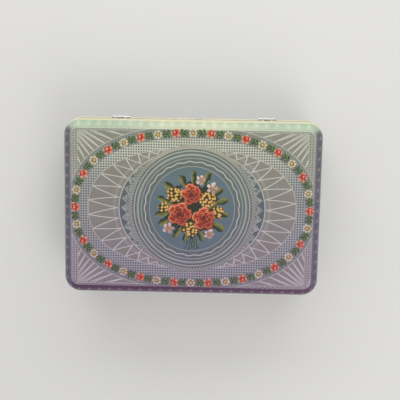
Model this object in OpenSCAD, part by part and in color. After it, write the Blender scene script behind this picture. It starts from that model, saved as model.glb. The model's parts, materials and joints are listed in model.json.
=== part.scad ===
// Rectangular hinged tin for sewing things. A drawn lid with a curved shoulder
// slips over a seamed body and turns on two small riveted strap hinges at the back.
// The closed tin lies on its base: X is left to right, Y is front to back, Z is up.

/* [Box] */
// Length over the lid's rolled rim, left to right
box_l = 254; // [180:1:320]
// Width over the lid's rolled rim, front to back
box_w = 174; // [120:1:240]
// Height of the closed tin
box_h = 64; // [50:1:110]
// Radius of the rim's corners, seen from above
corner_r = 17.5; // [16.5:0.5:30]
// Thickness of the tinplate
plate_t = 0.3; // [0.2:0.05:0.4]

/* [Lid] */
// Height of the lid from its rolled rim to its face
lid_h = 22; // [20:0.5:32]
// Radius of the curved shoulder between skirt and face
shoulder_r = 13.5; // [9:0.5:14]
// Turn of the shoulder, in degrees, before it meets the face at a crease
shoulder_angle = 75; // [55:1:82]
// Diameter of the hollow bead rolled outward along the lid's edge
rim_bead_d = 1.8; // [1.4:0.1:2.4]

/* [Body] */
// Play left between the lid's front skirt and the body as the lid swings
lid_play = 0.15; // [0.1:0.05:0.5]
// Height of the body's mouth above the start of the lid's shoulder
mouth_rise = 3.5; // [1:0.1:4]
// Diameter of the hollow bead rolled inward along the body's mouth
mouth_bead_d = 2; // [1.4:0.1:3]
// Width of the folded lock seam on the inside of the back wall
lock_seam_w = 5; // [3:0.5:8]
// Depth that the lock seam stands in from the back wall
lock_seam_t = 0.6; // [0.4:0.1:1]

/* [Base] */
// Height of the seam that folds the bottom panel round the body's edge
base_seam_h = 3; // [2:0.1:5]
// Thickness of the seam's outer fold
base_seam_t = 0.6; // [0.4:0.1:1]
// Height of the bottom panel above the surface the tin stands on
base_recess = 2.2; // [1:0.1:4]

/* [Hinges] */
// Distance between the middles of the two hinges
hinge_spacing = 143; // [80:1:150]
// Width of each hinge along the pin
hinge_w = 17; // [14:0.5:24]
// Width of the middle knuckle, which belongs to the body's leaf
middle_knuckle_w = 6.6; // [5:0.1:9]
// Gap at each side of the middle knuckle
knuckle_gap = 0.2; // [0.1:0.05:0.5]
// Thickness of the hinge leaves
leaf_t = 0.6; // [0.4:0.05:0.8]
// Height of the body's leaf below the pin
body_leaf_h = 10; // [9.5:0.5:16]
// Height left between the top of the lid's leaf and the shoulder
lid_leaf_margin = 0.8; // [0.3:0.1:1.2]
// Diameter of the hinge pin
pin_d = 2; // [1.6:0.1:2.4]
// Radial running clearance of the pin in the lid's knuckles
pin_clearance = 0.05; // [0.02:0.01:0.1]
// Clearance cut into skirt and leaves round the knuckles
knuckle_clearance = 0.35; // [0.2:0.05:0.6]
// Clearance between the hinge and the notch in the lid's rim, each side
notch_clearance = 0.5; // [0.3:0.1:1]

/* [Rivets] */
// Distance between the two rivets of a leaf
rivet_spacing = 9; // [8:0.5:11]
// Diameter of a rivet's shank
rivet_d = 1.6; // [1.2:0.1:2]
// Diameter of a rivet's domed head
rivet_head_d = 3; // [2.4:0.1:3.2]
// Height of a rivet's domed head
rivet_head_h = 0.9; // [0.6:0.1:1.2]
// Thickness of the flattened tail inside
rivet_tail_h = 0.3; // [0.2:0.05:0.35]

/* [Hidden] */
$fn = 64;

// Heights
rim_z = box_h - lid_h;
axis_z = rim_z + rim_bead_d / 2;
shoulder_z = box_h - shoulder_r * sin(shoulder_angle);
skirt_h = shoulder_z - rim_z;
mouth_z = shoulder_z + mouth_rise;

// The body's wall stands clear of the lid's skirt by the play plus what the front
// skirt moves in on its arc as the lid swings up past the mouth.
lid_gap = lid_play + pow(skirt_h + mouth_rise, 2) / (2 * box_w);

// Distances outward from the axis of a corner, shared by every swept section
skirt_x = corner_r - rim_bead_d + plate_t;
shoulder_x = skirt_x - shoulder_r;
crease_x = shoulder_x + shoulder_r * cos(shoulder_angle);
wall_x = skirt_x - plate_t - lid_gap;

// Places of the corner axes, and of the back faces
corner_axis_x = box_l / 2 - corner_r;
corner_axis_y = box_w / 2 - corner_r;
skirt_back_y = corner_axis_y + skirt_x;
wall_back_y = corner_axis_y + wall_x;

// Hinge sizes
knuckle_r = pin_d / 2 + pin_clearance + leaf_t;
axis_y = skirt_back_y + knuckle_r;
knuckle_room = knuckle_r + knuckle_clearance;
leaf_offset = skirt_back_y - wall_back_y;
lid_leaf_h = shoulder_z - lid_leaf_margin - axis_z;
side_knuckle_w = (hinge_w - middle_knuckle_w) / 2 - knuckle_gap;
lid_rivet_z = axis_z + (knuckle_room + lid_leaf_h) / 2;
body_rivet_z = axis_z - (knuckle_room + leaf_offset + body_leaf_h) / 2;
left = -1;
right = 1;

// Carries a section, drawn outward from the corner axes, once round the tin.
module swept() {
    for (i = [0:3]) {
        sx = (i == 0 || i == 3) ? 1 : -1;
        sy = (i < 2) ? 1 : -1;
        translate([sx * corner_axis_x, sy * corner_axis_y, 0])
            rotate([0, 0, 90 * i])
                rotate_extrude(angle = 90)
                    children();
    }
    for (turn = [0, 180]) {
        rotate([0, 0, turn])
            translate([corner_axis_x, corner_axis_y, 0])
                rotate([90, 0, 0])
                    linear_extrude(2 * corner_axis_y)
                        children();
        rotate([0, 0, turn])
            translate([-corner_axis_x, corner_axis_y, 0])
                rotate([90, 0, 90])
                    linear_extrude(2 * corner_axis_x)
                        children();
    }
}

// Fills the rectangle between the corner axes with a flat sheet.
module middle_sheet(bottom_z) {
    translate([-corner_axis_x, -corner_axis_y, bottom_z])
        cube([2 * corner_axis_x, 2 * corner_axis_y, plate_t]);
}

// A hollow bead of rolled sheet, seen in section.
module rolled_bead(d) {
    difference() {
        circle(d = d);
        circle(d = d - 2 * plate_t);
    }
}

// The lid in section: face, shoulder, skirt and rolled rim.
module lid_section() {
    reach = 2 * shoulder_r;
    half_turn = shoulder_angle / 2;
    translate([0, box_h - plate_t])
        square([crease_x, plate_t]);
    translate([shoulder_x, shoulder_z])
        intersection() {
            difference() {
                circle(shoulder_r);
                circle(shoulder_r - plate_t);
            }
            polygon([
                [0, 0],
                [reach, 0],
                [reach * cos(half_turn), reach * sin(half_turn)],
                [reach * cos(shoulder_angle), reach * sin(shoulder_angle)]
            ]);
        }
    translate([skirt_x - plate_t, axis_z])
        square([plate_t, shoulder_z - axis_z]);
    translate([corner_r - rim_bead_d / 2, axis_z])
        rolled_bead(rim_bead_d);
}

// The body's wall in section, with the bead rolled in along the mouth.
module wall_section() {
    bead_z = mouth_z - mouth_bead_d / 2;
    translate([wall_x - plate_t, plate_t])
        square([plate_t, bead_z - plate_t]);
    translate([wall_x - mouth_bead_d / 2, bead_z])
        rolled_bead(mouth_bead_d);
}

// The bottom panel's edge in section: the fold that grips the wall, and the recess.
module base_section() {
    inner_x = wall_x - 2 * plate_t;
    translate([0, base_recess])
        square([inner_x, plate_t]);
    translate([inner_x, 0])
        square([plate_t, base_recess + plate_t]);
    translate([inner_x, 0])
        square([2 * plate_t + base_seam_t, plate_t]);
    translate([wall_x, 0])
        square([base_seam_t, base_seam_h]);
}

module body_wall() {
    color("lightsteelblue")
        difference() {
            union() {
                swept()
                    wall_section();
                translate([-lock_seam_w / 2, wall_back_y - plate_t - lock_seam_t, base_seam_h])
                    cube([lock_seam_w, lock_seam_t, mouth_z - mouth_bead_d - base_seam_h]);
            }
            for (side = [left, right])
                rivet_holes(side, body_rivet_z);
        }
}

module bottom_panel() {
    color("silver") {
        swept()
            base_section();
        middle_sheet(base_recess);
    }
}

module lid_shell() {
    color("powderblue")
        difference() {
            union() {
                swept()
                    lid_section();
                middle_sheet(box_h - plate_t);
            }
            for (side = [left, right]) {
                hinge_notch(side);
                rivet_holes(side, lid_rivet_z);
            }
        }
}

// The cut in the lid's rim that leaves room for one hinge.
module hinge_notch(side) {
    notch_w = hinge_w + 2 * notch_clearance;
    translate([side * hinge_spacing / 2 - notch_w / 2, skirt_back_y - knuckle_r, rim_z - 1])
        cube([notch_w, 2 * knuckle_r + rim_bead_d, axis_z + knuckle_room - rim_z + 1]);
}

// The two rivet holes of one leaf, bored through leaf and plate.
module rivet_holes(side, z) {
    for (step = [-0.5, 0.5])
        translate([side * hinge_spacing / 2 + step * rivet_spacing, axis_y, z])
            rotate([90, 0, 0])
                cylinder(d = rivet_d, h = 2 * knuckle_r + leaf_offset + plate_t);
}

// A strip along the hinge, drawn in section with Y across and Z up.
module hinge_strip(side, middle, width) {
    translate([side * hinge_spacing / 2 + middle - width / 2, 0, 0])
        rotate([90, 0, 90])
            linear_extrude(width)
                children();
}

// A knuckle in section, with a hole of the given radius.
module knuckle_section(hole_r) {
    translate([axis_y, axis_z])
        difference() {
            circle(knuckle_r);
            circle(hole_r);
        }
}

// The body's leaf: a strap on the back wall, set out to carry the middle knuckle.
module body_leaf(side) {
    set_z = axis_z - knuckle_room - leaf_offset;
    hole_r = pin_d / 2;
    color("gainsboro")
        difference() {
            union() {
                hinge_strip(side, 0, hinge_w)
                    polygon([
                        [wall_back_y, axis_z - body_leaf_h],
                        [wall_back_y + leaf_t, axis_z - body_leaf_h],
                        [wall_back_y + leaf_t, set_z],
                        [skirt_back_y + leaf_t, axis_z - knuckle_room],
                        [skirt_back_y, axis_z - knuckle_room],
                        [wall_back_y, set_z]
                    ]);
                hinge_strip(side, 0, middle_knuckle_w) {
                    knuckle_section(hole_r);
                    translate([skirt_back_y, axis_z - knuckle_room])
                        square([leaf_t, knuckle_room]);
                }
            }
            rivet_holes(side, body_rivet_z);
        }
}

// The lid's leaf: a flat strap on the skirt, with a knuckle at each side.
module lid_leaf(side) {
    hole_r = pin_d / 2 + pin_clearance;
    step = (hinge_w - side_knuckle_w) / 2;
    color("gainsboro")
        difference() {
            union() {
                hinge_strip(side, 0, hinge_w)
                    translate([skirt_back_y, axis_z + knuckle_room])
                        square([leaf_t, lid_leaf_h - knuckle_room]);
                for (middle = [-step, step])
                    hinge_strip(side, middle, side_knuckle_w) {
                        knuckle_section(hole_r);
                        translate([skirt_back_y, axis_z])
                            square([leaf_t, knuckle_room]);
                    }
            }
            rivet_holes(side, lid_rivet_z);
        }
}

// The hinge pin, a length of plain wire.
module hinge_pin(side) {
    color("darkgray")
        translate([side * hinge_spacing / 2, axis_y, axis_z])
            rotate([0, 90, 0])
                cylinder(d = pin_d, h = hinge_w, center = true);
}

// The two rivets of a leaf. Leaf and plate lie between plate_y and leaf_y.
module leaf_rivets(side, z, plate_y, leaf_y) {
    dome_r = (pow(rivet_head_d / 2, 2) + pow(rivet_head_h, 2)) / (2 * rivet_head_h);
    color("silver")
        for (step = [-0.5, 0.5])
            translate([side * hinge_spacing / 2 + step * rivet_spacing, 0, z])
                rotate([-90, 0, 0]) {
                    translate([0, 0, plate_y])
                        cylinder(d = rivet_d, h = leaf_y - plate_y);
                    translate([0, 0, plate_y - rivet_tail_h])
                        cylinder(d = rivet_head_d, h = rivet_tail_h);
                    intersection() {
                        translate([0, 0, leaf_y + rivet_head_h - dome_r])
                            sphere(dome_r);
                        translate([0, 0, leaf_y])
                            cylinder(d = 2 * rivet_head_d, h = rivet_head_h);
                    }
                }
}

module body_rivets(side) {
    leaf_rivets(side, body_rivet_z, wall_back_y - plate_t, wall_back_y + leaf_t);
}

module lid_rivets(side) {
    leaf_rivets(side, lid_rivet_z, skirt_back_y - plate_t, skirt_back_y + leaf_t);
}

body_wall();
bottom_panel();
lid_shell();
body_leaf(left);  // hinge_left_body_leaf
body_leaf(right);  // hinge_right_body_leaf
lid_leaf(left);  // hinge_left_lid_leaf
lid_leaf(right);  // hinge_right_lid_leaf
hinge_pin(left);  // hinge_left_pin
hinge_pin(right);  // hinge_right_pin
body_rivets(left);  // hinge_left_body_rivets
body_rivets(right);  // hinge_right_body_rivets
lid_rivets(left);  // hinge_left_lid_rivets
lid_rivets(right);  // hinge_right_lid_rivets
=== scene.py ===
"""Sewing tin: the printed lid and body, bare tin inside, hinge steel, table, lights and camera."""
import json
import math
from types import SimpleNamespace

import bpy
from mathutils import Euler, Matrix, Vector

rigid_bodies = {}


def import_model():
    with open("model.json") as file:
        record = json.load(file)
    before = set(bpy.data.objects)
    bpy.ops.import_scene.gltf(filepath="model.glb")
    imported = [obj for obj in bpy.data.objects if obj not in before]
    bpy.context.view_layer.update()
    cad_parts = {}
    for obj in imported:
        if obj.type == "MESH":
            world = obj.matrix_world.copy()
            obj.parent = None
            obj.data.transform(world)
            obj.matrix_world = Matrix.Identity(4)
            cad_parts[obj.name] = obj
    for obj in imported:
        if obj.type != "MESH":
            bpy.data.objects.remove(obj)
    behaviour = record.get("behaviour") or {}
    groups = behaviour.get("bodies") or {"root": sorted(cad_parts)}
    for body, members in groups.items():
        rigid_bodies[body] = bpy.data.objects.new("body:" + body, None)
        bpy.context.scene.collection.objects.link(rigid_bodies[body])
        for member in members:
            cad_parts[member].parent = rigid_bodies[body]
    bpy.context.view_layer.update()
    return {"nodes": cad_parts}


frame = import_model()

# Sizes of the tin that the print and the finishes follow, in millimetres
MM = 0.001
# The middle of the lid's rounded corner, and the crease that ends the flat face outside it
CORNER_AXIS = (109.5, 69.5)
CREASE_OUT = 5.99
CREASE = (CORNER_AXIS[0] + CREASE_OUT, CORNER_AXIS[1] + CREASE_OUT)
# The shoulder's arc as the print follows it: its centre's place, its radius, its turn at the crease
SHOULDER_OUT = 2.5
SHOULDER_Z = 50.5
SHOULDER_R = 13.5
SHOULDER_START = math.asin((CREASE_OUT - SHOULDER_OUT) / SHOULDER_R)
# The foot of the lid, the bead along it, and the top of the seam at the wall's foot
RIM_Z = 42.0
RIM_BEAD = 1.8
WALL_LOW_Z = 3.0

# Sizes of the print, in millimetres from the middle of the lid
# An oval is its half length, its half width and its power, where 2 is an ellipse
# The garland runs through its flowers' middles, and the thread outside it runs a band further out
GARLAND = (113.0, 72.6, 2.3)
GARLAND_FLOWERS = 36
FLOWER_R = 4.3
FLOWER_SHAKE = (0.35, 2.4)
BAND = 6.6
GARLAND_EDGE = (GARLAND[0] + BAND, GARLAND[1] + BAND, GARLAND[2])
# The outer edges of the net, the spokes and the crescents, each inside the one before
NET_EDGE = (GARLAND[0] - 4.5, GARLAND[1] - 5.0, GARLAND[2])
NET_PITCH = 2.4
SPOKE_EDGE = (100.0, 58.0, 2.3)
SPOKE_TURNS = 44
CRESCENT_EDGE = (70.3, 57.5, 2.0)
BEAD_STRIP = 1.6
# The place outside the corner that its threads point to, the turn between them, and the strip of
# net along the crease, wider at the ends
FAN_FOOT = (CREASE[0] + 10.0, CREASE[1] + 10.0)
FAN_STEP = math.radians(7.5)
EDGE_STRIP = (5.5, 2.0)
# The lace collar's two radii, and the lace teeth that stand out from it into the crescents
COLLAR = (57.7, 61.5)
COLLAR_POINTS = 3 * SPOKE_TURNS
TOOTH_TIP = COLLAR[1] + 6.5
TOOTH_DEPTH = 5.5
DISC_R = 40.2
RING_LOBES = 25

# The border down the shoulder and skirt, measured from the crease along the sheet
SHOULDER_PERIOD = 10.0
PERIODS_TO_CORNER = 12
DOTS_DOWN = 6.5
WAVE_DOWN = 10.6
SKIRT_LACE = (13.0, 22.0)

# The wall's row of flowers, and its lace measured up and down from that row
WALL_PERIOD = 20.0
WALL_ROW_Z = 20.5
WALL_LACE_FROM_ROW = 7.0
WALL_LACE_DEPTH = 7.0
WALL_LACE_LINES = (0.0, WALL_LACE_DEPTH, 8.6)

# Rings round the disc: radius, twice the depth of the waves, width of the line and its strength
RINGS = (
    (55.6, 0.5, 1.2, 0.7),
    (52.2, 0.0, 2.1, 0.55),
    (48.7, 0.4, 1.2, 0.45),
    (44.8, 2.4, 1.0, 1.0),
    (41.0, 0.0, 0.8, 0.5),
)


# Small tools for shader nodes

class Field:
    """One output socket of a shader node tree: a number that varies over the surface."""

    def __init__(self, tree, socket):
        self.tree = tree
        self.socket = socket

    def __add__(self, other):
        return calc("ADD", self, other)

    def __radd__(self, other):
        return calc("ADD", other, self)

    def __sub__(self, other):
        return calc("SUBTRACT", self, other)

    def __rsub__(self, other):
        return calc("SUBTRACT", other, self)

    def __mul__(self, other):
        return calc("MULTIPLY", self, other)

    def __truediv__(self, other):
        return calc("DIVIDE", self, other)

    def __rtruediv__(self, other):
        return calc("DIVIDE", other, self)

    def __neg__(self):
        return calc("MULTIPLY", self, -1.0)

    def __abs__(self):
        return calc("ABSOLUTE", self)

    def __pow__(self, other):
        return calc("POWER", self, other)


def add_node(tree, kind, **settings):
    """A new node with its settings."""
    node = tree.nodes.new(kind)
    for name, value in settings.items():
        setattr(node, name, value)
    return node


def feed(tree, socket, value):
    """Links a field to a socket, or sets the socket's own number or colour."""
    if isinstance(value, Field):
        tree.links.new(value.socket, socket)
    else:
        socket.default_value = value


def tree_of(values):
    """The node tree that the fields among some values live in."""
    return next(value.tree for value in values if isinstance(value, Field))


def calc(operation, *values):
    """A Math node on numbers and fields."""
    tree = tree_of(values)
    node = add_node(tree, "ShaderNodeMath", operation=operation)
    for socket, value in zip(node.inputs, values):
        feed(tree, socket, value)
    return Field(tree, node.outputs[0])


def highest(first, *others):
    """The highest of several fields and numbers."""
    for other in others:
        first = calc("MAXIMUM", first, other)
    return first


def lowest(first, *others):
    """The lowest of several fields and numbers."""
    for other in others:
        first = calc("MINIMUM", first, other)
    return first


def root(value):
    """A square root."""
    return calc("SQRT", value)


def ramp(value, start, end, low=0.0, high=1.0):
    """Goes smoothly from low to high while the value goes from start to end."""
    values = (value, start, end, low, high)
    tree = tree_of(values)
    node = add_node(tree, "ShaderNodeMapRange", interpolation_type="SMOOTHSTEP")
    for name, number in zip(("Value", "From Min", "From Max", "To Min", "To Max"), values):
        feed(tree, node.inputs[name], number)
    return Field(tree, node.outputs["Result"])


def inside(value, edge, soft=0.35):
    """1 where the value is below the edge and 0 above it, soft millimetres wide."""
    return ramp(value, edge + soft / 2, edge - soft / 2)


def stroke(distance, width, soft=0.35):
    """1 on a line of the given width round distance 0."""
    return inside(abs(distance), width / 2, soft)


def to_nearest(value, period):
    """The distance from the value to the nearest multiple of the period."""
    return calc("PINGPONG", value, period / 2)


def lay(under, over, mask, blend_type="MIX"):
    """The colour over laid on the colour under where the mask is 1."""
    tree = tree_of((under, over, mask))
    node = add_node(tree, "ShaderNodeMix", data_type="RGBA", blend_type=blend_type)
    feed(tree, node.inputs[0], mask)
    feed(tree, node.inputs[6], under)
    feed(tree, node.inputs[7], over)
    return Field(tree, node.outputs[2])


def tinted(colour, tint, amount=1.0):
    """A colour multiplied by a tint."""
    return lay(colour, tint, amount, "MULTIPLY")


def join(x, y, z=0.0):
    """Three numbers joined to a vector."""
    tree = tree_of((x, y, z))
    node = add_node(tree, "ShaderNodeCombineXYZ")
    for socket, value in zip(node.inputs, (x, y, z)):
        feed(tree, socket, value)
    return Field(tree, node.outputs[0])


def split(place):
    """The three numbers of a vector."""
    node = add_node(place.tree, "ShaderNodeSeparateXYZ")
    feed(place.tree, node.inputs[0], place)
    return [Field(place.tree, socket) for socket in node.outputs]


def choose(mask, first, second):
    """The first vector where the mask is 0 and the second where it is 1."""
    tree = mask.tree
    node = add_node(tree, "ShaderNodeMix", data_type="VECTOR")
    feed(tree, node.inputs[0], mask)
    feed(tree, node.inputs[4], first)
    feed(tree, node.inputs[5], second)
    return Field(tree, node.outputs[1])


def noise(place, scale, detail=2.0, roughness=0.5):
    """Cloudy noise between 0 and 1 at a place given as a vector."""
    node = add_node(place.tree, "ShaderNodeTexNoise")
    feed(place.tree, node.inputs["Vector"], place)
    node.inputs["Scale"].default_value = scale
    node.inputs["Detail"].default_value = detail
    node.inputs["Roughness"].default_value = roughness
    return Field(place.tree, node.outputs["Fac"])


def shake(place, scale, amount):
    """Two cloudy noises about 0 that make drawn edges a little uneven, in millimetres."""
    node = add_node(place.tree, "ShaderNodeTexNoise")
    feed(place.tree, node.inputs["Vector"], place)
    node.inputs["Scale"].default_value = scale
    red, green, _ = split(Field(place.tree, node.outputs["Color"]))
    return (red - 0.5) * amount, (green - 0.5) * amount


def srgb(red, green, blue):
    """A colour given as a picture's 0 to 255 values, made linear."""
    def linear(value):
        value /= 255
        return value / 12.92 if value <= 0.04045 else ((value + 0.055) / 1.055) ** 2.4
    return (linear(red), linear(green), linear(blue), 1.0)


def start_group(name, inputs, numbers=(), colours=()):
    """A shader node group with named number inputs and outputs: its tree and its inputs."""
    tree = bpy.data.node_groups.new(name, "ShaderNodeTree")
    for label in inputs:
        tree.interface.new_socket(label, in_out="INPUT", socket_type="NodeSocketFloat")
    for label in numbers:
        tree.interface.new_socket(label, in_out="OUTPUT", socket_type="NodeSocketFloat")
    for label in colours:
        tree.interface.new_socket(label, in_out="OUTPUT", socket_type="NodeSocketColor")
    entry = tree.nodes.new("NodeGroupInput")
    return tree, [Field(tree, entry.outputs[label]) for label in inputs]


def end_group(tree, **results):
    """Links a group's results to its outputs, and gives the group."""
    leave = tree.nodes.new("NodeGroupOutput")
    for label, value in results.items():
        feed(tree, leave.inputs[label], value)
    return tree


def use(group, *values):
    """A group placed in a tree with its inputs in order; gives its output or outputs."""
    tree = tree_of(values)
    node = add_node(tree, "ShaderNodeGroup", node_tree=group)
    for socket, value in zip(node.inputs, values):
        feed(tree, socket, value)
    results = [Field(tree, socket) for socket in node.outputs]
    return results[0] if len(results) == 1 else results


# Ovals, zigzags and nets of the print

def oval_places(oval, count):
    """Equally spaced places on a quarter of an oval, from its right end to its top."""
    length, width, power = oval
    steps = 2000
    points = []
    for step in range(steps + 1):
        turn = math.pi / 2 * step / steps
        points.append((length * math.cos(turn) ** (2 / power), width * math.sin(turn) ** (2 / power)))
    runs = [0.0]
    for before, after in zip(points, points[1:]):
        runs.append(runs[-1] + math.dist(before, after))
    places = []
    for number in range(count):
        wanted = runs[-1] * number / (count - 1)
        step = min(range(steps + 1), key=lambda index: abs(runs[index] - wanted))
        places.append(points[step])
    return places


def oval_length(oval):
    """The length once round an oval."""
    quarter = oval_places(oval, 200)
    return 4 * sum(math.dist(before, after) for before, after in zip(quarter, quarter[1:]))


def oval_normal(oval, place):
    """The outward direction of an oval at a place on it, as a unit vector."""
    length, width, power = oval
    slope_x = place[0] ** (power - 1) / length ** power
    slope_y = place[1] ** (power - 1) / width ** power
    size = math.hypot(slope_x, slope_y)
    return slope_x / size, slope_y / size


def make_oval_group():
    """How far a point lies outside an oval, in millimetres."""
    tree, (x, y, length, width, power) = start_group(
        "oval", ("x", "y", "length", "width", "power"), numbers=("gap",))
    along = abs(x) / length
    across = abs(y) / width
    reach = (along ** power + across ** power) ** (1.0 / power)
    less = power - 1.0
    slope_x = (along / reach) ** less / length
    slope_y = (across / reach) ** less / width
    return end_group(tree, gap=(reach - 1.0) / root(slope_x * slope_x + slope_y * slope_y))


def make_zigzag_group():
    """A zigzag thread between two borders: turn counts its points, across goes from 0 to 1."""
    tree, (turn, across, step, depth, width) = start_group(
        "zigzag", ("turn", "across", "step", "depth", "width"), numbers=("thread",))
    half = step / 2.0
    sideways = (to_nearest(turn, 1.0) * 2.0 - across) * half
    slant = depth / root(depth * depth + half * half)
    return end_group(tree, thread=stroke(sideways * slant, width, 0.6))


def make_net_group():
    """A fine lace net of crossing threads."""
    tree, (x, y, pitch, width) = start_group(
        "net", ("x", "y", "pitch", "width"), numbers=("thread",))
    across = stroke(to_nearest(x, pitch), width, 0.7)
    along = stroke(to_nearest(y, pitch), width, 0.7)
    return end_group(tree, thread=highest(across, along))


oval_group = make_oval_group()
zigzag_group = make_zigzag_group()
net_group = make_net_group()


# Flowers and leaves of the print

def pick_nearest(x, y, places, extras):
    """The offset from the nearest of several places, with that place's own extra numbers."""
    tree = x.tree
    here = join(x, y)
    best = None
    for place, extra in zip(places, extras):
        apart = add_node(tree, "ShaderNodeVectorMath", operation="SUBTRACT")
        feed(tree, apart.inputs[0], here)
        apart.inputs[1].default_value = (place[0], place[1], 0.0)
        offset = Field(tree, apart.outputs["Vector"])
        size = add_node(tree, "ShaderNodeVectorMath", operation="LENGTH")
        feed(tree, size.inputs[0], offset)
        distance = Field(tree, size.outputs["Value"])
        if best is None:
            best, best_offset, best_extra = distance, offset, extra
            continue
        nearer = calc("LESS_THAN", distance, best)
        best = lowest(distance, best)
        best_offset = choose(nearer, best_offset, offset)
        best_extra = choose(nearer, best_extra, extra)
    return split(best_offset), split(best_extra)


def make_leaf_group():
    """A pointed leaf at a place, turned and sized: 1 inside it, and its shade from 0 to 1."""
    tree, (x, y, at_x, at_y, angle, length, width) = start_group(
        "leaf", ("x", "y", "at_x", "at_y", "angle", "length", "width"), numbers=("leaf", "shade"))
    off_x = x - at_x
    off_y = y - at_y
    cosine = calc("COSINE", angle)
    sine = calc("SINE", angle)
    along = (off_x * cosine + off_y * sine) / length * 2.0
    across = (off_y * cosine - off_x * sine) / width * 2.0
    bulge = 1.0 - along * along
    body = inside(abs(across) - bulge, 0.0, 0.3)
    shade = ramp(across, -0.5, 0.8) + stroke(across, 0.2, 0.2) * 0.2
    return end_group(tree, leaf=body * calc("GREATER_THAN", bulge, 0.0), shade=shade)


def make_red_flower_group():
    """A coral rosette on pale outer petals, round the middle of its own square."""
    tree, (x, y, radius) = start_group(
        "red flower", ("x", "y", "radius"), numbers=("flower",), colours=("colour",))
    out = root(x * x + y * y) / radius
    turn = calc("ARCTAN2", y, x)
    petals = calc("COSINE", turn * 5.0) * 0.06
    whole = inside(out - petals, 0.98, 0.14)
    swirl = calc("SINE", turn + out * 8.0)
    colour = lay(srgb(186, 118, 98), srgb(224, 178, 150), ramp(petals, -0.05, 0.05))
    coral = lay(srgb(158, 34, 30), srgb(220, 88, 64), ramp(swirl, -0.6, 0.8))
    low_y = y / radius - 0.12
    heart = root(x * x / (radius * radius) + low_y * low_y)
    colour = lay(colour, coral, inside(heart + petals, 0.74, 0.14))
    glint_x = x / radius - 0.2
    glint_y = y / radius - 0.26
    glint = inside(root(glint_x * glint_x + glint_y * glint_y), 0.2, 0.26)
    colour = lay(colour, srgb(246, 184, 160), glint)
    return end_group(tree, flower=whole, colour=colour)


def make_cream_flower_group():
    """A cream daisy with an ochre eye."""
    tree, (x, y, radius) = start_group(
        "cream flower", ("x", "y", "radius"), numbers=("flower",), colours=("colour",))
    out = root(x * x + y * y) / radius
    petals = calc("COSINE", calc("ARCTAN2", y, x) * 7.0)
    whole = inside(out - petals * 0.03, 0.95, 0.14)
    colour = lay(srgb(168, 160, 134), srgb(220, 213, 190), ramp(petals, -1.0, 0.0))
    colour = lay(colour, srgb(126, 106, 66), inside(out, 0.54, 0.16))
    colour = lay(colour, srgb(186, 160, 100), inside(out, 0.38, 0.16))
    colour = lay(colour, srgb(214, 198, 150), inside(out, 0.18, 0.14))
    return end_group(tree, flower=whole, colour=colour)


leaf_group = make_leaf_group()
red_flower_group = make_red_flower_group()
cream_flower_group = make_cream_flower_group()
LEAF_SHADOW = srgb(58, 74, 60)
LEAF_DARK = srgb(40, 66, 40)
LEAF_LIGHT = srgb(122, 142, 92)


def lay_leaves(colour, x, y, leaves, dark=LEAF_DARK, light=LEAF_LIGHT):
    """Green leaves, each given as place, angle in degrees, length and width, laid on a colour."""
    for at_x, at_y, angle, length, width in leaves:
        leaf, shade = use(leaf_group, x, y, at_x, at_y, math.radians(angle), length, width)
        colour = lay(colour, lay(dark, light, shade), leaf)
    return colour


# Leaves in the gap after each flower of the garland: along it, out from it, angle, length, width
GARLAND_LEAVES = (
    (8.2, 0.0, 12, 8.6, 2.6),
    (5.9, 2.1, 62, 5.2, 2.3),
    (9.3, 2.2, 30, 5.0, 2.0),
    (7.1, -2.3, -30, 5.0, 2.1),
    (10.7, -2.0, -64, 5.2, 2.3),
)


def lay_garland(colour, spot):
    """The oval garland of red and cream flowers, laid on a colour."""
    quarter = oval_places(GARLAND, GARLAND_FLOWERS // 4 + 1)
    extras = []
    for number, place in enumerate(quarter):
        normal = oval_normal(GARLAND, place)
        extras.append((normal[0], normal[1], float(number % 2)))
    offset, extra = pick_nearest(spot.right, spot.top, quarter, extras)
    shake_x, shake_y = shake(spot.place, *FLOWER_SHAKE)
    off_x = offset[0] + shake_x
    off_y = offset[1] + shake_y
    normal_x, normal_y, cream = extra
    across = off_x * normal_x + off_y * normal_y
    along = off_y * normal_x - off_x * normal_y
    spacing = oval_length(GARLAND) / GARLAND_FLOWERS
    along = along + calc("LESS_THAN", along, 0.0) * spacing
    colour = lay(colour, LEAF_SHADOW, inside(abs(across), 1.8, 2.4) * 0.6)
    colour = lay_leaves(colour, along, across, GARLAND_LEAVES)
    return lay_flowers(colour, off_x, off_y, cream)


def lay_flowers(colour, x, y, cream):
    """The garland's cream flower where cream is 1 and its red one where it is 0, on a colour."""
    red_mask, red = use(red_flower_group, x, y, FLOWER_R)
    cream_mask, pale = use(cream_flower_group, x, y, FLOWER_R)
    colour = lay(colour, red, red_mask * (1.0 - cream))
    return lay(colour, pale, cream_mask * cream)


# The posy in the middle of the lid

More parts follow.
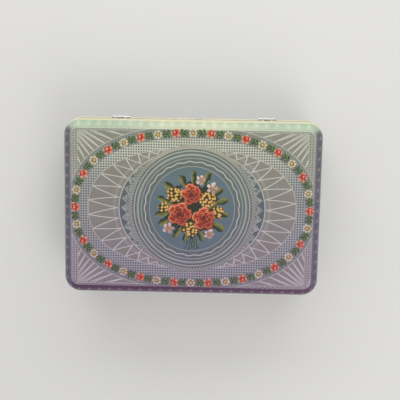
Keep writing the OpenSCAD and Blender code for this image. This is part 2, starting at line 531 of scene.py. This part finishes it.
# Camellias: place, radius and turn in radians. Clusters and pink blossoms: place and radius
# Leaves: place, angle in degrees, length and width. Stems: place at the top and lean to the foot
POSY_CORALS = ((-12.0, -5.0, 12.5, 0.0), (11.5, -9.0, 11.5, 0.9), (-1.0, 14.5, 10.5, 2.0))
POSY_CLUSTERS = (
    (-17.5, 13.5, 7.5), (14.5, 9.5, 8.0), (-1.0, -20.0, 7.0), (25.5, -3.0, 5.5), (-27.5, 1.5, 5.0),
)
POSY_PINKS = ((19.0, 20.5, 5.5), (-22.5, -19.0, 5.5), (17.0, -24.0, 5.0), (8.0, 28.0, 4.5))
POSY_LEAVES = (
    (-29, -5, 190, 15, 6), (-28, -13, 208, 13, 6), (-14, -23, 236, 15, 7), (-6, -27, 262, 13, 5),
    (9, -26, 292, 13, 6), (26, -17, 326, 14, 7), (31, -5, 352, 12, 5), (29, 8, 20, 14, 6),
    (25, 17, 40, 12, 6), (14, 30, 62, 14, 6), (1, 30, 92, 14, 6), (-9, 27, 118, 15, 7),
    (-22, 21, 138, 15, 7), (-29, 9, 160, 12, 6), (20, 2, 30, 12, 6), (-22, 6, 150, 12, 6),
)
POSY_STEMS = ((-1.8, -4.2), (-0.9, -1.5), (0.0, 0.6), (0.9, 2.4), (1.8, 4.8))
POSY_STEM_TOP = -20.0
POSY_STEM_LENGTH = 19.0
POSY_DARK_R = 25.0
POSY_DARK = srgb(36, 48, 32)
BLOSSOM_PITCH = 3.0
# Rows of a camellia's petals from outside in: reach as a share of its radius, number and turn
CAMELLIA_ROWS = ((0.94, 5.0, 0.0), (0.72, 5.0, 1.5), (0.5, 4.0, 0.6), (0.3, 3.0, 2.0))


def make_pink_blossom_group():
    """A pale pink blossom of the posy with five round petals and a golden eye."""
    tree, (x, y, radius) = start_group(
        "pink blossom", ("x", "y", "radius"), numbers=("flower",), colours=("colour",))
    out = root(x * x + y * y) / radius
    lobes = abs(calc("COSINE", calc("ARCTAN2", y, x) * 2.5))
    whole = inside(out - lobes * 0.3, 0.7, 0.12)
    light_side = ramp((y - x) / radius, -1.0, 0.8, 0.4, 1.0)
    petal = ramp(lobes, 0.05, 0.75) * ramp(out, 0.1, 0.7) * light_side
    colour = lay(srgb(150, 112, 104), srgb(238, 216, 206), petal)
    colour = lay(colour, srgb(192, 150, 78), inside(out, 0.26, 0.12))
    return end_group(tree, flower=whole, colour=colour)


def make_camellia_group():
    """A full coral blossom: rows of wide petals with light lips over dark folds."""
    tree, (x, y, radius, turned) = start_group(
        "camellia", ("x", "y", "radius", "turned"), numbers=("flower",), colours=("colour",))
    out = root(x * x + y * y) / radius
    turn = calc("ARCTAN2", y, x) + turned
    light_side = ramp((y - x * 0.7) / radius, -1.0, 0.9, 0.35, 1.0)
    colour = srgb(148, 34, 14)
    whole = None
    for number, (reach, petals, shift) in enumerate(CAMELLIA_ROWS):
        lobes = abs(calc("COSINE", turn * (petals / 2.0) + shift))
        edge = out / reach - lobes * 0.22
        petal = inside(edge, 0.82, 0.08)
        lip = ramp(edge, 0.5, 0.78) * ramp(lobes, 0.05, 0.6, 0.1, 1.0)
        deep = srgb(148 - number * 12, 34, 14)
        light = srgb(246 - number * 4, 132 - number * 12, 80 - number * 10)
        shaded = lay(deep, light, lip * light_side)
        glint = stroke(edge - 0.72, 0.05, 0.1) * ramp(lobes, 0.5, 0.9) * light_side
        shaded = lay(shaded, srgb(255, 196, 168), glint * 0.8)
        colour = lay(colour, shaded, petal)
        whole = whole or petal
    return end_group(tree, flower=whole, colour=colour)


camellia_group = make_camellia_group()
pink_group = make_pink_blossom_group()


def lay_clusters(colour, place, x, y):
    """Clusters of tiny yellow blossoms among dark leaves, laid on a colour."""
    cells = add_node(place.tree, "ShaderNodeTexVoronoi", voronoi_dimensions="2D")
    feed(place.tree, cells.inputs["Vector"], place)
    cells.inputs["Scale"].default_value = 1 / BLOSSOM_PITCH
    cells.inputs["Randomness"].default_value = 0.8
    out = Field(place.tree, cells.outputs["Distance"])
    petal = lay(srgb(170, 116, 38), srgb(236, 198, 100), ramp(out, 0.46, 0.22))
    petal = lay(petal, srgb(250, 236, 184), inside(out, 0.14, 0.14))
    blossom = lay(srgb(58, 60, 30), petal, inside(out, 0.47, 0.16))
    for at_x, at_y, radius in POSY_CLUSTERS:
        off_x = x - at_x
        off_y = y - at_y
        colour = lay(colour, blossom, inside(root(off_x * off_x + off_y * off_y), radius, 0.8))
    return colour


def lay_posy(colour, spot):
    """The posy of camellias, yellow and pink blossoms and leaves, laid on a colour."""
    shake_x, shake_y = shake(spot.place, 0.22, 5.0)
    x = spot.x + shake_x
    y = spot.y + shake_y
    down = (POSY_STEM_TOP - y) / POSY_STEM_LENGTH
    for at, lean in POSY_STEMS:
        stem = stroke(x - at - down * lean, 1.1)
        stem = stem * inside(abs(down - 0.5), 0.5, 0.05)
        colour = lay(colour, srgb(66, 88, 54), stem)
    ragged = root(x * x + y * y) + (noise(spot.place, 0.16, 3.0, 0.7) - 0.5) * 34.0
    colour = lay(colour, POSY_DARK, inside(ragged, POSY_DARK_R, 1.5))
    colour = lay_leaves(colour, x, y, POSY_LEAVES, srgb(40, 52, 28), srgb(142, 148, 78))
    colour = lay_clusters(colour, spot.place, x, y)
    for at_x, at_y, radius in POSY_PINKS:
        mask, petals = use(pink_group, x - at_x, y - at_y, radius)
        colour = lay(colour, petals, mask)
    for at_x, at_y, radius, turned in POSY_CORALS:
        mask, petals = use(camellia_group, x - at_x, y - at_y, radius, turned)
        colour = lay(colour, petals, mask)
    return colour


# Print of the lid, and the painted light and shade laid on it

def make_edge_group():
    """Where a point lies past the lid's crease: along the edge, down the shoulder, and its side."""
    tree, (x, y, z) = start_group("edge", ("x", "y", "z"), numbers=("along", "down", "side"))
    right = abs(x)
    top = abs(y)
    out_x = highest(right - CORNER_AXIS[0], 0.0)
    out_y = highest(top - CORNER_AXIS[1], 0.0)
    out = root(out_x * out_x + out_y * out_y)
    angle = calc("ARCTAN2", out - SHOULDER_OUT, highest(z - SHOULDER_Z, 0.0))
    down = (angle - SHOULDER_START) * SHOULDER_R + highest(SHOULDER_Z - z, 0.0)
    turn = calc("ARCTAN2", out_x, out_y)
    reach = (PERIODS_TO_CORNER * SHOULDER_PERIOD - CORNER_AXIS[0]) / (math.pi / 4)
    from_back = lowest(right, CORNER_AXIS[0]) + turn * reach
    from_end = lowest(top, CORNER_AXIS[1]) + (math.pi / 2 - turn) * reach
    at_end = calc("GREATER_THAN", turn, math.pi / 4)
    along = from_back + at_end * (from_end - from_back)
    side = calc("SIGN", y) * out_y / highest(out, 0.001)
    return end_group(tree, along=along, down=down, side=side)


edge_group = make_edge_group()
THREAD = srgb(204, 205, 198)
BRIGHT_THREAD = srgb(216, 218, 212)
LINEN = srgb(138, 137, 133)
BAND_BLUE = srgb(120, 129, 130)
NET_HOLE = srgb(78, 93, 106)
STEEL_BLUE = srgb(92, 109, 120)
RING_GREY = srgb(104, 119, 120)


def lay_corners(spot):
    """Linen ground with a fan of lace threads in each corner, and a net along the crease."""
    gap = use(oval_group, spot.x, spot.y, *GARLAND_EDGE)
    frame_gap = lowest(CREASE[0] - EDGE_STRIP[0] - spot.right, CREASE[1] - EDGE_STRIP[1] - spot.top)
    foot_x = FAN_FOOT[0] - spot.right
    foot_y = FAN_FOOT[1] - spot.top
    from_foot = root(foot_x * foot_x + foot_y * foot_y)
    turn = calc("ARCTAN2", foot_y, foot_x) / FAN_STEP
    depth = highest(gap + from_foot, 1.0)
    fan = use(zigzag_group, turn, gap / depth, from_foot * FAN_STEP, depth, 0.7)
    colour = lay(srgb(134, 134, 130), srgb(160, 160, 154), noise(spot.place, 0.9, 2.0))
    colour = lay(colour, srgb(220, 221, 214), fan * inside(-frame_gap, 0.0))
    strip = lay(srgb(124, 126, 126), THREAD, use(net_group, spot.x, spot.y, NET_PITCH, 0.9) * 0.7)
    colour = lay(colour, strip, inside(frame_gap, 0.0))
    net = use(net_group, spot.x, spot.y, NET_PITCH, 0.7)
    band = lay(BAND_BLUE, THREAD, net * 0.3)
    colour = lay(colour, band, inside(gap, 0.0))
    return lay(colour, THREAD, stroke(gap, 0.9, 0.8) * 0.6)


def lay_net(colour, spot):
    """The oval ring of fine net inside the garland, laid on a colour."""
    gap = use(oval_group, spot.x, spot.y, *NET_EDGE)
    thread = lay(srgb(179, 182, 179), srgb(215, 217, 205), ramp(spot.y, 20.0, 60.0))
    net = lay(NET_HOLE, thread, use(net_group, spot.x, spot.y, NET_PITCH, 1.0))
    return lay(colour, net, inside(gap, 0.0, 1.0))


def lay_spokes(colour, spot):
    """The zigzag spokes on linen and the steel blue crescents inside them, laid on a colour."""
    edge_gap = use(oval_group, spot.x, spot.y, *SPOKE_EDGE)
    crescent_gap = use(oval_group, spot.x, spot.y, *CRESCENT_EDGE)
    turn = spot.angle * (SPOKE_TURNS / (2 * math.pi))
    in_gap = crescent_gap - BEAD_STRIP
    depth = highest(in_gap - edge_gap, 1.0)
    step = spot.out * (2 * math.pi / SPOKE_TURNS)
    spokes = use(zigzag_group, turn, in_gap / depth, step, depth, 0.8)
    spokes = spokes * inside(-in_gap, 0.5, 1.0)
    linen = lay(LINEN, srgb(154, 152, 147), noise(spot.place, 0.9, 2.0))
    field = lay(linen, BRIGHT_THREAD, spokes)
    ticks = inside(to_nearest(turn * 6.0, 1.0), 0.2, 0.2) * inside(abs(crescent_gap - 4.0), 1.0)
    field = lay(field, THREAD, ticks * 0.4)
    field = lay(field, THREAD, stroke(crescent_gap - 5.2, 0.6) * 0.35)
    colour = lay(colour, field, inside(edge_gap, 0.0))
    colour = lay(colour, THREAD, stroke(edge_gap, 1.0, 0.8) * 0.6)
    tooth = TOOTH_TIP - to_nearest(turn, 1.0) * (2 * TOOTH_DEPTH)
    weave = ramp(noise(spot.place, 0.6, 3.0, 0.7), 0.4, 0.6)
    lace = lay(srgb(112, 124, 126), srgb(176, 180, 174), weave)
    blue = lay(STEEL_BLUE, lace, inside(spot.out - tooth, 0.0, 0.8))
    blue = lay(blue, THREAD, stroke(spot.out - tooth, 0.6, 0.6) * 0.6)
    colour = lay(colour, blue, inside(crescent_gap, 0.0))
    return lay(colour, BRIGHT_THREAD, stroke(crescent_gap, 0.9, 0.6) * 0.8)


def lay_rings(colour, spot):
    """The lace collar, the round rings and the slate blue disc, laid on a colour."""
    out = spot.out
    middle = (COLLAR[0] + COLLAR[1]) / 2
    depth = COLLAR[1] - COLLAR[0]
    turn = spot.angle * (COLLAR_POINTS / (2 * math.pi))
    step = out * (2 * math.pi / COLLAR_POINTS)
    zigzag = use(zigzag_group, turn, (out - COLLAR[0]) / depth, step, depth, 0.6)
    ground = lay(srgb(130, 135, 131), srgb(168, 166, 156), ramp(spot.y / out, 0.6, 0.9))
    collar = lay(ground, THREAD, zigzag * 0.6)
    colour = lay(colour, collar, inside(abs(out - middle), depth / 2, 0.8))
    colour = lay(colour, RING_GREY, inside(out, COLLAR[0]))
    scallop = to_nearest(spot.angle * (RING_LOBES / (2 * math.pi)), 1.0)
    for radius, wave, width, strength in RINGS:
        line = stroke(out - radius - scallop * wave, width, 0.6)
        colour = lay(colour, THREAD, line * strength)
    disc = lay(srgb(93, 116, 127), srgb(111, 134, 144), noise(spot.place, 0.05))
    return lay(colour, disc, inside(out, DISC_R))


def lay_lace_row(colour, along, past_edge, depth, strength):
    """A row of zigzag lace, from the distance past its first edge, laid on a colour."""
    turn = along * (2.0 / SHOULDER_PERIOD)
    zigzag = use(zigzag_group, turn, past_edge / depth, SHOULDER_PERIOD / 2, depth, 0.7)
    return lay(colour, THREAD, zigzag * inside(abs(past_edge - depth / 2), depth / 2) * strength)


def lay_shoulder(colour, spot):
    """The border of the shoulder and skirt, with painted shade, highlights and reflection on it, laid
    on a colour.
    """
    along, down, side = spot.along, spot.down, spot.side
    at_back = ramp(side, 0.3, 0.9)
    # Painted shade: the ground is lighter near the crease and darker further down the shoulder.
    ground = lay(srgb(100, 96, 118), srgb(146, 142, 154), ramp(down, 7.0, 0.0) * 0.8)
    # Painted light: the back of the shoulder is mint, partly print and partly a painted highlight,
    # with a painted glare making it paler and creamier in the middle.
    mint_and_painted_glare = lay(srgb(184, 199, 182), srgb(210, 213, 190), ramp(spot.right, 75.0, 20.0))
    ground = lay(ground, mint_and_painted_glare, at_back)
    # Painted reflection and shade: the front of the shoulder turns dark purple.
    ground = lay(ground, srgb(98, 52, 92), ramp(side, -0.3, -0.9))
    near = to_nearest(along, SHOULDER_PERIOD)
    from_dots = down - DOTS_DOWN
    patch = inside(abs(from_dots), 3.4, 3.0) * ramp(near, 0.4, 3.4)
    ground = tinted(ground, srgb(232, 242, 244), patch)
    ground = tinted(ground, srgb(228, 236, 228), noise(spot.place, 0.4, 3.0))
    dot = inside(root(near * near + from_dots * from_dots), 1.2, 2.0)
    ground = lay(ground, THREAD, dot * 0.4)
    wave = calc("COSINE", along * (4 * math.pi / SHOULDER_PERIOD))
    ground = lay(ground, BRIGHT_THREAD, stroke(down - 0.8 - wave * 0.25, 0.9) * 0.5)
    lace_top, lace_foot = SKIRT_LACE
    # Painted highlight: a cream band lies along the back of the skirt.
    cream = ramp(down, DOTS_DOWN + 2.0, lace_top - 1.0) * ramp(down, lace_foot, lace_foot - 3.0)
    ground = lay(ground, srgb(226, 214, 184), at_back * cream * 0.8)
    ground = lay(ground, THREAD, stroke(down - WAVE_DOWN - wave * 0.7, 0.7) * 0.4)
    ground = lay_lace_row(ground, along, down - lace_top, lace_foot - lace_top, 0.5)
    for at in SKIRT_LACE:
        ground = lay(ground, THREAD, stroke(down - at, 0.7) * 0.5)
    # Painted highlight: the bead is cream at the back and greyish lavender elsewhere.
    bead = lay(srgb(146, 140, 156), srgb(232, 222, 192), ramp(side, 0.0, 0.8))
    ground = lay(ground, bead, inside(spot.z, RIM_Z + RIM_BEAD))
    return lay(colour, ground, ramp(down, -0.2, 0.3))


def print_and_painted_light_of_lid(place):
    """The whole print of the lid with painted light and shade laid on it, and the distance to its
    nearest edge, from the place in mm.
    """
    x, y, z = split(place)
    along, down, side = use(edge_group, x, y, z)
    spot = SimpleNamespace(
        place=place, x=x, y=y, z=z, right=abs(x), top=abs(y), out=root(x * x + y * y),
        angle=calc("ARCTAN2", y, x), along=along, down=down, side=side)
    colour = lay_corners(spot)
    colour = lay_net(colour, spot)
    colour = lay_spokes(colour, spot)
    colour = lay_rings(colour, spot)
    colour = lay_posy(colour, spot)
    colour = lay_shoulder(colour, spot)
    colour = lay_garland(colour, spot)
    # Painted reflection and light: the whole lid is tinted lavender towards the front and warm pale
    # towards the back.
    tint = lay(srgb(236, 216, 243), srgb(255, 255, 240), ramp(y, -85.0, 85.0))
    from_corner = highest(CORNER_AXIS[0] - spot.right, 0.0) + highest(CORNER_AXIS[1] - spot.top, 0.0)
    rim_distance = abs(z - (RIM_Z + RIM_BEAD / 2))
    return tinted(colour, tint), lowest(rim_distance, abs(down) + from_corner * 0.3)


# Materials

def new_material(name):
    """A material with an empty tree and a Principled shader linked to its output."""
    material = bpy.data.materials.new(name)
    material.use_nodes = True
    tree = material.node_tree
    tree.nodes.clear()
    shader = tree.nodes.new("ShaderNodeBsdfPrincipled")
    result = tree.nodes.new("ShaderNodeOutputMaterial")
    tree.links.new(shader.outputs["BSDF"], result.inputs["Surface"])
    return material, tree, shader


def place_in_mm(tree):
    """The point's place on its own object, in millimetres."""
    coordinates = tree.nodes.new("ShaderNodeTexCoord")
    scaled = add_node(tree, "ShaderNodeVectorMath", operation="SCALE")
    tree.links.new(coordinates.outputs["Object"], scaled.inputs[0])
    scaled.inputs["Scale"].default_value = 1 / MM
    return Field(tree, scaled.outputs["Vector"])


def add_bump(tree, shader, height, strength, distance):
    """Feeds a height to the shader's normal; a height of 1 is the distance in millimetres."""
    bump = tree.nodes.new("ShaderNodeBump")
    bump.inputs["Strength"].default_value = strength
    bump.inputs["Distance"].default_value = distance * MM
    feed(tree, bump.inputs["Height"], height)
    tree.links.new(bump.outputs["Normal"], shader.inputs["Normal"])


def make_rub_group():
    """Print rubbed off near an edge: 1 where the bare metal shows."""
    tree, (x, y, z, distance, reach) = start_group(
        "rubbed edge", ("x", "y", "z", "distance", "reach"), numbers=("bare",))
    place = join(x, y, z)
    limit = reach * ramp(noise(place, 0.1, 3.0, 0.6), 0.42, 0.66)
    return end_group(tree, bare=inside(distance + noise(place, 1.8) * 0.8, limit, 0.4))


def make_mark_group():
    """Marks of handling, each from 0 to 1: soft clouds, and hairlines that run slantwise."""
    tree, (x, y, z, cloud, line) = start_group(
        "marks", ("x", "y", "z", "cloud", "line"), numbers=("clouds", "lines"))
    clouds = ramp(noise(join(x / cloud, y / cloud, z / cloud), 1.0, 4.0, 0.6), 0.35, 0.65)
    slant = y + x * 0.35
    lines = noise(join(x / (line * 40.0), slant / line, z / line), 1.0, 2.0)
    return end_group(tree, clouds=clouds, lines=ramp(lines, 0.6, 0.72))


rub_group = make_rub_group()
mark_group = make_mark_group()


def make_printed(name, print_of, reach):
    """Litho printed and varnished tinplate, from a function for its print, painted light included, and
    its nearest edge.
    """
    material, tree, shader = new_material(name)
    place = place_in_mm(tree)
    x, y, z = split(place)
    colour, distance = print_of(place)
    bare = use(rub_group, x, y, z, distance, reach)
    clouds, lines = use(mark_group, x, y, z, 22.0, 1.1)
    colour = tinted(colour, srgb(248, 247, 244), clouds)
    feed(tree, shader.inputs["Base Color"], lay(colour, srgb(188, 184, 174), bare * 0.85))
    feed(tree, shader.inputs["Metallic"], bare * 0.85)
    feed(tree, shader.inputs["Roughness"], clouds * 0.1 + lines * 0.12 + 0.32)
    feed(tree, shader.inputs["Coat Weight"], (1.0 - bare) * 0.3)
    shader.inputs["Coat Roughness"].default_value = 0.14
    add_bump(tree, shader, noise(place, 0.02, 1.0) + noise(place, 1.4) * 0.01, 0.4, 0.6)
    return material


def print_of_wall(place):
    """The print of the body's wall: a row of the garland's flowers between two rows of lace."""
    x, y, z = split(place)
    along, _, side = use(edge_group, x, y, z)
    shake_x, shake_y = shake(place, *FLOWER_SHAKE)
    up = z - WALL_ROW_Z
    colour = lay(srgb(104, 104, 124), srgb(118, 134, 136), ramp(side, -0.9, 0.9))
    lace = abs(up) - WALL_LACE_FROM_ROW
    colour = lay_lace_row(colour, along, lace, WALL_LACE_DEPTH, 0.7)
    for at in WALL_LACE_LINES:
        colour = lay(colour, THREAD, stroke(lace - at, 0.7) * 0.6)
    past_flower = calc("MODULO", along, WALL_PERIOD) + shake_x
    leaves = past_flower - (WALL_PERIOD / 2 - GARLAND_LEAVES[0][0])
    colour = lay_leaves(colour, leaves, up + shake_y, GARLAND_LEAVES)
    cream = calc("PINGPONG", calc("ROUND", along / WALL_PERIOD), 1.0)
    near = to_nearest(along, WALL_PERIOD)
    colour = lay_flowers(colour, near + shake_x, up + shake_y, cream)
    return colour, abs(z - WALL_LOW_Z / 2)


def make_metal(name, dark, light, smooth, cloud, line, relief):
    """Bare metal with cloudy tarnish of one size in mm, hairlines of another, and fine grain."""
    material, tree, shader = new_material(name)
    place = place_in_mm(tree)
    x, y, z = split(place)
    clouds, lines = use(mark_group, x, y, z, cloud, line)
    feed(tree, shader.inputs["Base Color"], lay(dark, light, clouds * 0.7 + lines * 0.3))
    feed(tree, shader.inputs["Roughness"], smooth + (1.0 - clouds) * 0.14 + lines * 0.1)
    shader.inputs["Metallic"].default_value = 1.0
    add_bump(tree, shader, noise(place, 2.0, 3.0, 0.7) + lines * 0.4, 0.3, relief)
    return material


printed_lid_with_painted_light = make_printed("printed_lid_with_painted_light", print_and_painted_light_of_lid, 1.6)
printed_wall = make_printed("printed_wall", print_of_wall, 2.2)
bare_tin = make_metal("bare_tin", srgb(194, 193, 186), srgb(216, 216, 211), 0.26, 30.0, 0.5, 0.02)
hinge_steel = make_metal("hinge_steel", srgb(190, 187, 180), srgb(226, 225, 221), 0.28, 3.0, 0.3, 0.02)
wire_steel = make_metal("wire_steel", srgb(158, 154, 146), srgb(222, 220, 214), 0.2, 2.0, 0.4, 0.04)


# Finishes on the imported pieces

def wear(node, *materials):
    """Puts materials in a piece's slots, the first of them on all its faces, and gives its mesh."""
    mesh = frame["nodes"][node].data
    mesh.materials.clear()
    for material in materials:
        mesh.materials.append(material)
    return mesh


def wear_two(node, outer, inner):
    """One material on the faces that look out of the tin, and another on the rest."""
    for polygon in wear(node, outer, inner).polygons:
        polygon.material_index = 0 if facing_out(polygon) > 0 else 1


def nearest_heart(place):
    """The place deepest in the tin that a point of its sheets is measured from."""
    return Vector((
        max(-CORNER_AXIS[0], min(CORNER_AXIS[0], place.x)),
        max(-CORNER_AXIS[1], min(CORNER_AXIS[1], place.y)),
        min(place.z, SHOULDER_Z),
    ))


def facing_out(polygon):
    """From 1 for a face that looks straight out of the tin to -1 for one that looks into it."""
    centre = polygon.center / MM
    return polygon.normal.dot((centre - nearest_heart(centre)).normalized())


def roll_out(place):
    """Where a point of the lid's outside comes to lie when its shell is rolled out flat."""
    heart = nearest_heart(place)
    sideways = Vector((place.x - heart.x, place.y - heart.y))
    out = sideways.length
    if out <= CREASE_OUT:
        return place.x, place.y
    angle = math.atan2(out - SHOULDER_OUT, max(place.z - SHOULDER_Z, 0.0))
    down = (angle - SHOULDER_START) * SHOULDER_R + max(SHOULDER_Z - place.z, 0.0)
    sideways *= (CREASE_OUT + down) / out
    return heart.x + sideways.x, heart.y + sideways.y


# Room left round the rolled out lid, in millimetres, and between the parts of its map
MAP_EDGE = 1.0
MAP_GAP = 0.01


def lay_out_lid():
    """A map for baking the lid: its outside rolled out large, and the rest small above it."""
    lid = frame["nodes"]["lid_shell"]
    mesh = lid.data
    corners = [vertex.co / MM for vertex in mesh.vertices]
    above_bead = RIM_Z + RIM_BEAD * 0.8
    outside = [
        facing_out(polygon) > 0.6 and all(corners[index].z > above_bead for index in polygon.vertices)
        for polygon in mesh.polygons]
    mesh.uv_layers.new(name="OFBake")
    mesh.polygons.foreach_set("select", [not shown for shown in outside])
    for thing in bpy.context.view_layer.objects:
        thing.select_set(thing == lid)
    bpy.context.view_layer.objects.active = lid
    bpy.context.tool_settings.mesh_select_mode = (False, False, True)
    bpy.ops.object.mode_set(mode="EDIT")
    bpy.ops.uv.smart_project(island_margin=MAP_GAP)
    bpy.ops.object.mode_set(mode="OBJECT")
    places = [roll_out(corner) for corner in corners]
    shown_corners = {
        index for polygon, shown in zip(mesh.polygons, outside) if shown for index in polygon.vertices}
    half_length = max(places[index][0] for index in shown_corners) + MAP_EDGE
    half_width = max(places[index][1] for index in shown_corners) + MAP_EDGE
    foot = half_width / half_length
    bake_map = mesh.uv_layers["OFBake"].uv
    for polygon, shown in zip(mesh.polygons, outside):
        for loop in polygon.loop_indices:
            if shown:
                x, y = places[mesh.loops[loop].vertex_index]
                across, up = (x / half_length + 1) / 2, (y / half_length + foot) / 2
            else:
                across, up = bake_map[loop].vector
                up = foot + MAP_GAP + up * (1.0 - MAP_GAP - foot)
            bake_map[loop].vector = (across, up)


wear_two("lid_shell", printed_lid_with_painted_light, bare_tin)
lay_out_lid()
wear_two("body_wall", printed_wall, bare_tin)
wear("bottom_panel", bare_tin)
for side in ("left", "right"):
    wear(f"hinge_{side}_body_leaf", hinge_steel)
    wear(f"hinge_{side}_lid_leaf", hinge_steel)
    wear(f"hinge_{side}_pin", wire_steel)
    wear(f"hinge_{side}_body_rivets", wire_steel)
    wear(f"hinge_{side}_lid_rivets", wire_steel)


# Table, lights and camera

# Strength of the light from all round, and of the backdrop as the camera sees it
SURROUND_LIGHT = 0.54
BACKDROP = 0.76
TABLE_HALF = 3.0
TIN_MIDDLE = (0, 0, 0.05)

# The camera fitted to the lid's outline: lens in millimetres, place in metres, turn in degrees
CAMERA_LENS = 50.4
CAMERA_PLACE = (0.01199, 0.06821, 0.59881)
CAMERA_TURN = (-6.313, 0.582, 1.033)


def make_table():
    """A plain pale table top under the tin."""
    mesh = bpy.data.meshes.new("table_top")
    signs = ((-1, -1), (1, -1), (1, 1), (-1, 1))
    corners = [(x * TABLE_HALF, y * TABLE_HALF, 0.0) for x, y in signs]
    mesh.from_pydata(corners, [], [(0, 1, 2, 3)])
    table = bpy.data.objects.new("table_top", mesh)
    bpy.context.scene.collection.objects.link(table)
    material, tree, shader = new_material("pale_table")
    shader.inputs["Base Color"].default_value = srgb(234, 233, 230)
    shader.inputs["Roughness"].default_value = 0.8
    mesh.materials.append(material)


def add_lamp(name, place, target, size, energy):
    """A soft square lamp that looks at a target."""
    data = bpy.data.lights.new(name, "AREA")
    data.shape = "RECTANGLE"
    data.size, data.size_y = size
    data.energy = energy
    lamp = bpy.data.objects.new(name, data)
    lamp.location = place
    lamp.rotation_euler = (Vector(target) - Vector(place)).to_track_quat("-Z", "Y").to_euler()
    bpy.context.scene.collection.objects.link(lamp)


def light_scene():
    """Soft lamps behind and in front of the tin, and an even pale surround."""
    add_lamp("back_lamp", (-0.02, 1.25, 0.5), TIN_MIDDLE, (2.4, 0.8), 15.0)
    add_lamp("front_lamp", (0.5, -0.9, 0.9), TIN_MIDDLE, (1.0, 1.0), 5.0)
    world = bpy.data.worlds.new("studio")
    world.use_nodes = True
    tree = world.node_tree
    surround = tree.nodes["Background"]
    surround.inputs["Color"].default_value = (1.0, 1.0, 1.0, 1.0)
    seen = Field(tree, tree.nodes.new("ShaderNodeLightPath").outputs["Is Camera Ray"])
    feed(tree, surround.inputs["Strength"], seen * (BACKDROP - SURROUND_LIGHT) + SURROUND_LIGHT)
    bpy.context.scene.world = world


def add_camera():
    """The camera, found by fitting the lid's outline in the photograph."""
    data = bpy.data.cameras.new("camera")
    data.sensor_width = 36.0
    data.lens = CAMERA_LENS
    data.clip_end = 20.0
    camera = bpy.data.objects.new("camera", data)
    camera.location = CAMERA_PLACE
    camera.rotation_euler = Euler([math.radians(angle) for angle in CAMERA_TURN])
    bpy.context.scene.collection.objects.link(camera)
    bpy.context.scene.camera = camera


make_table()
light_scene()
add_camera()
bpy.context.scene.view_settings.view_transform = "Standard"
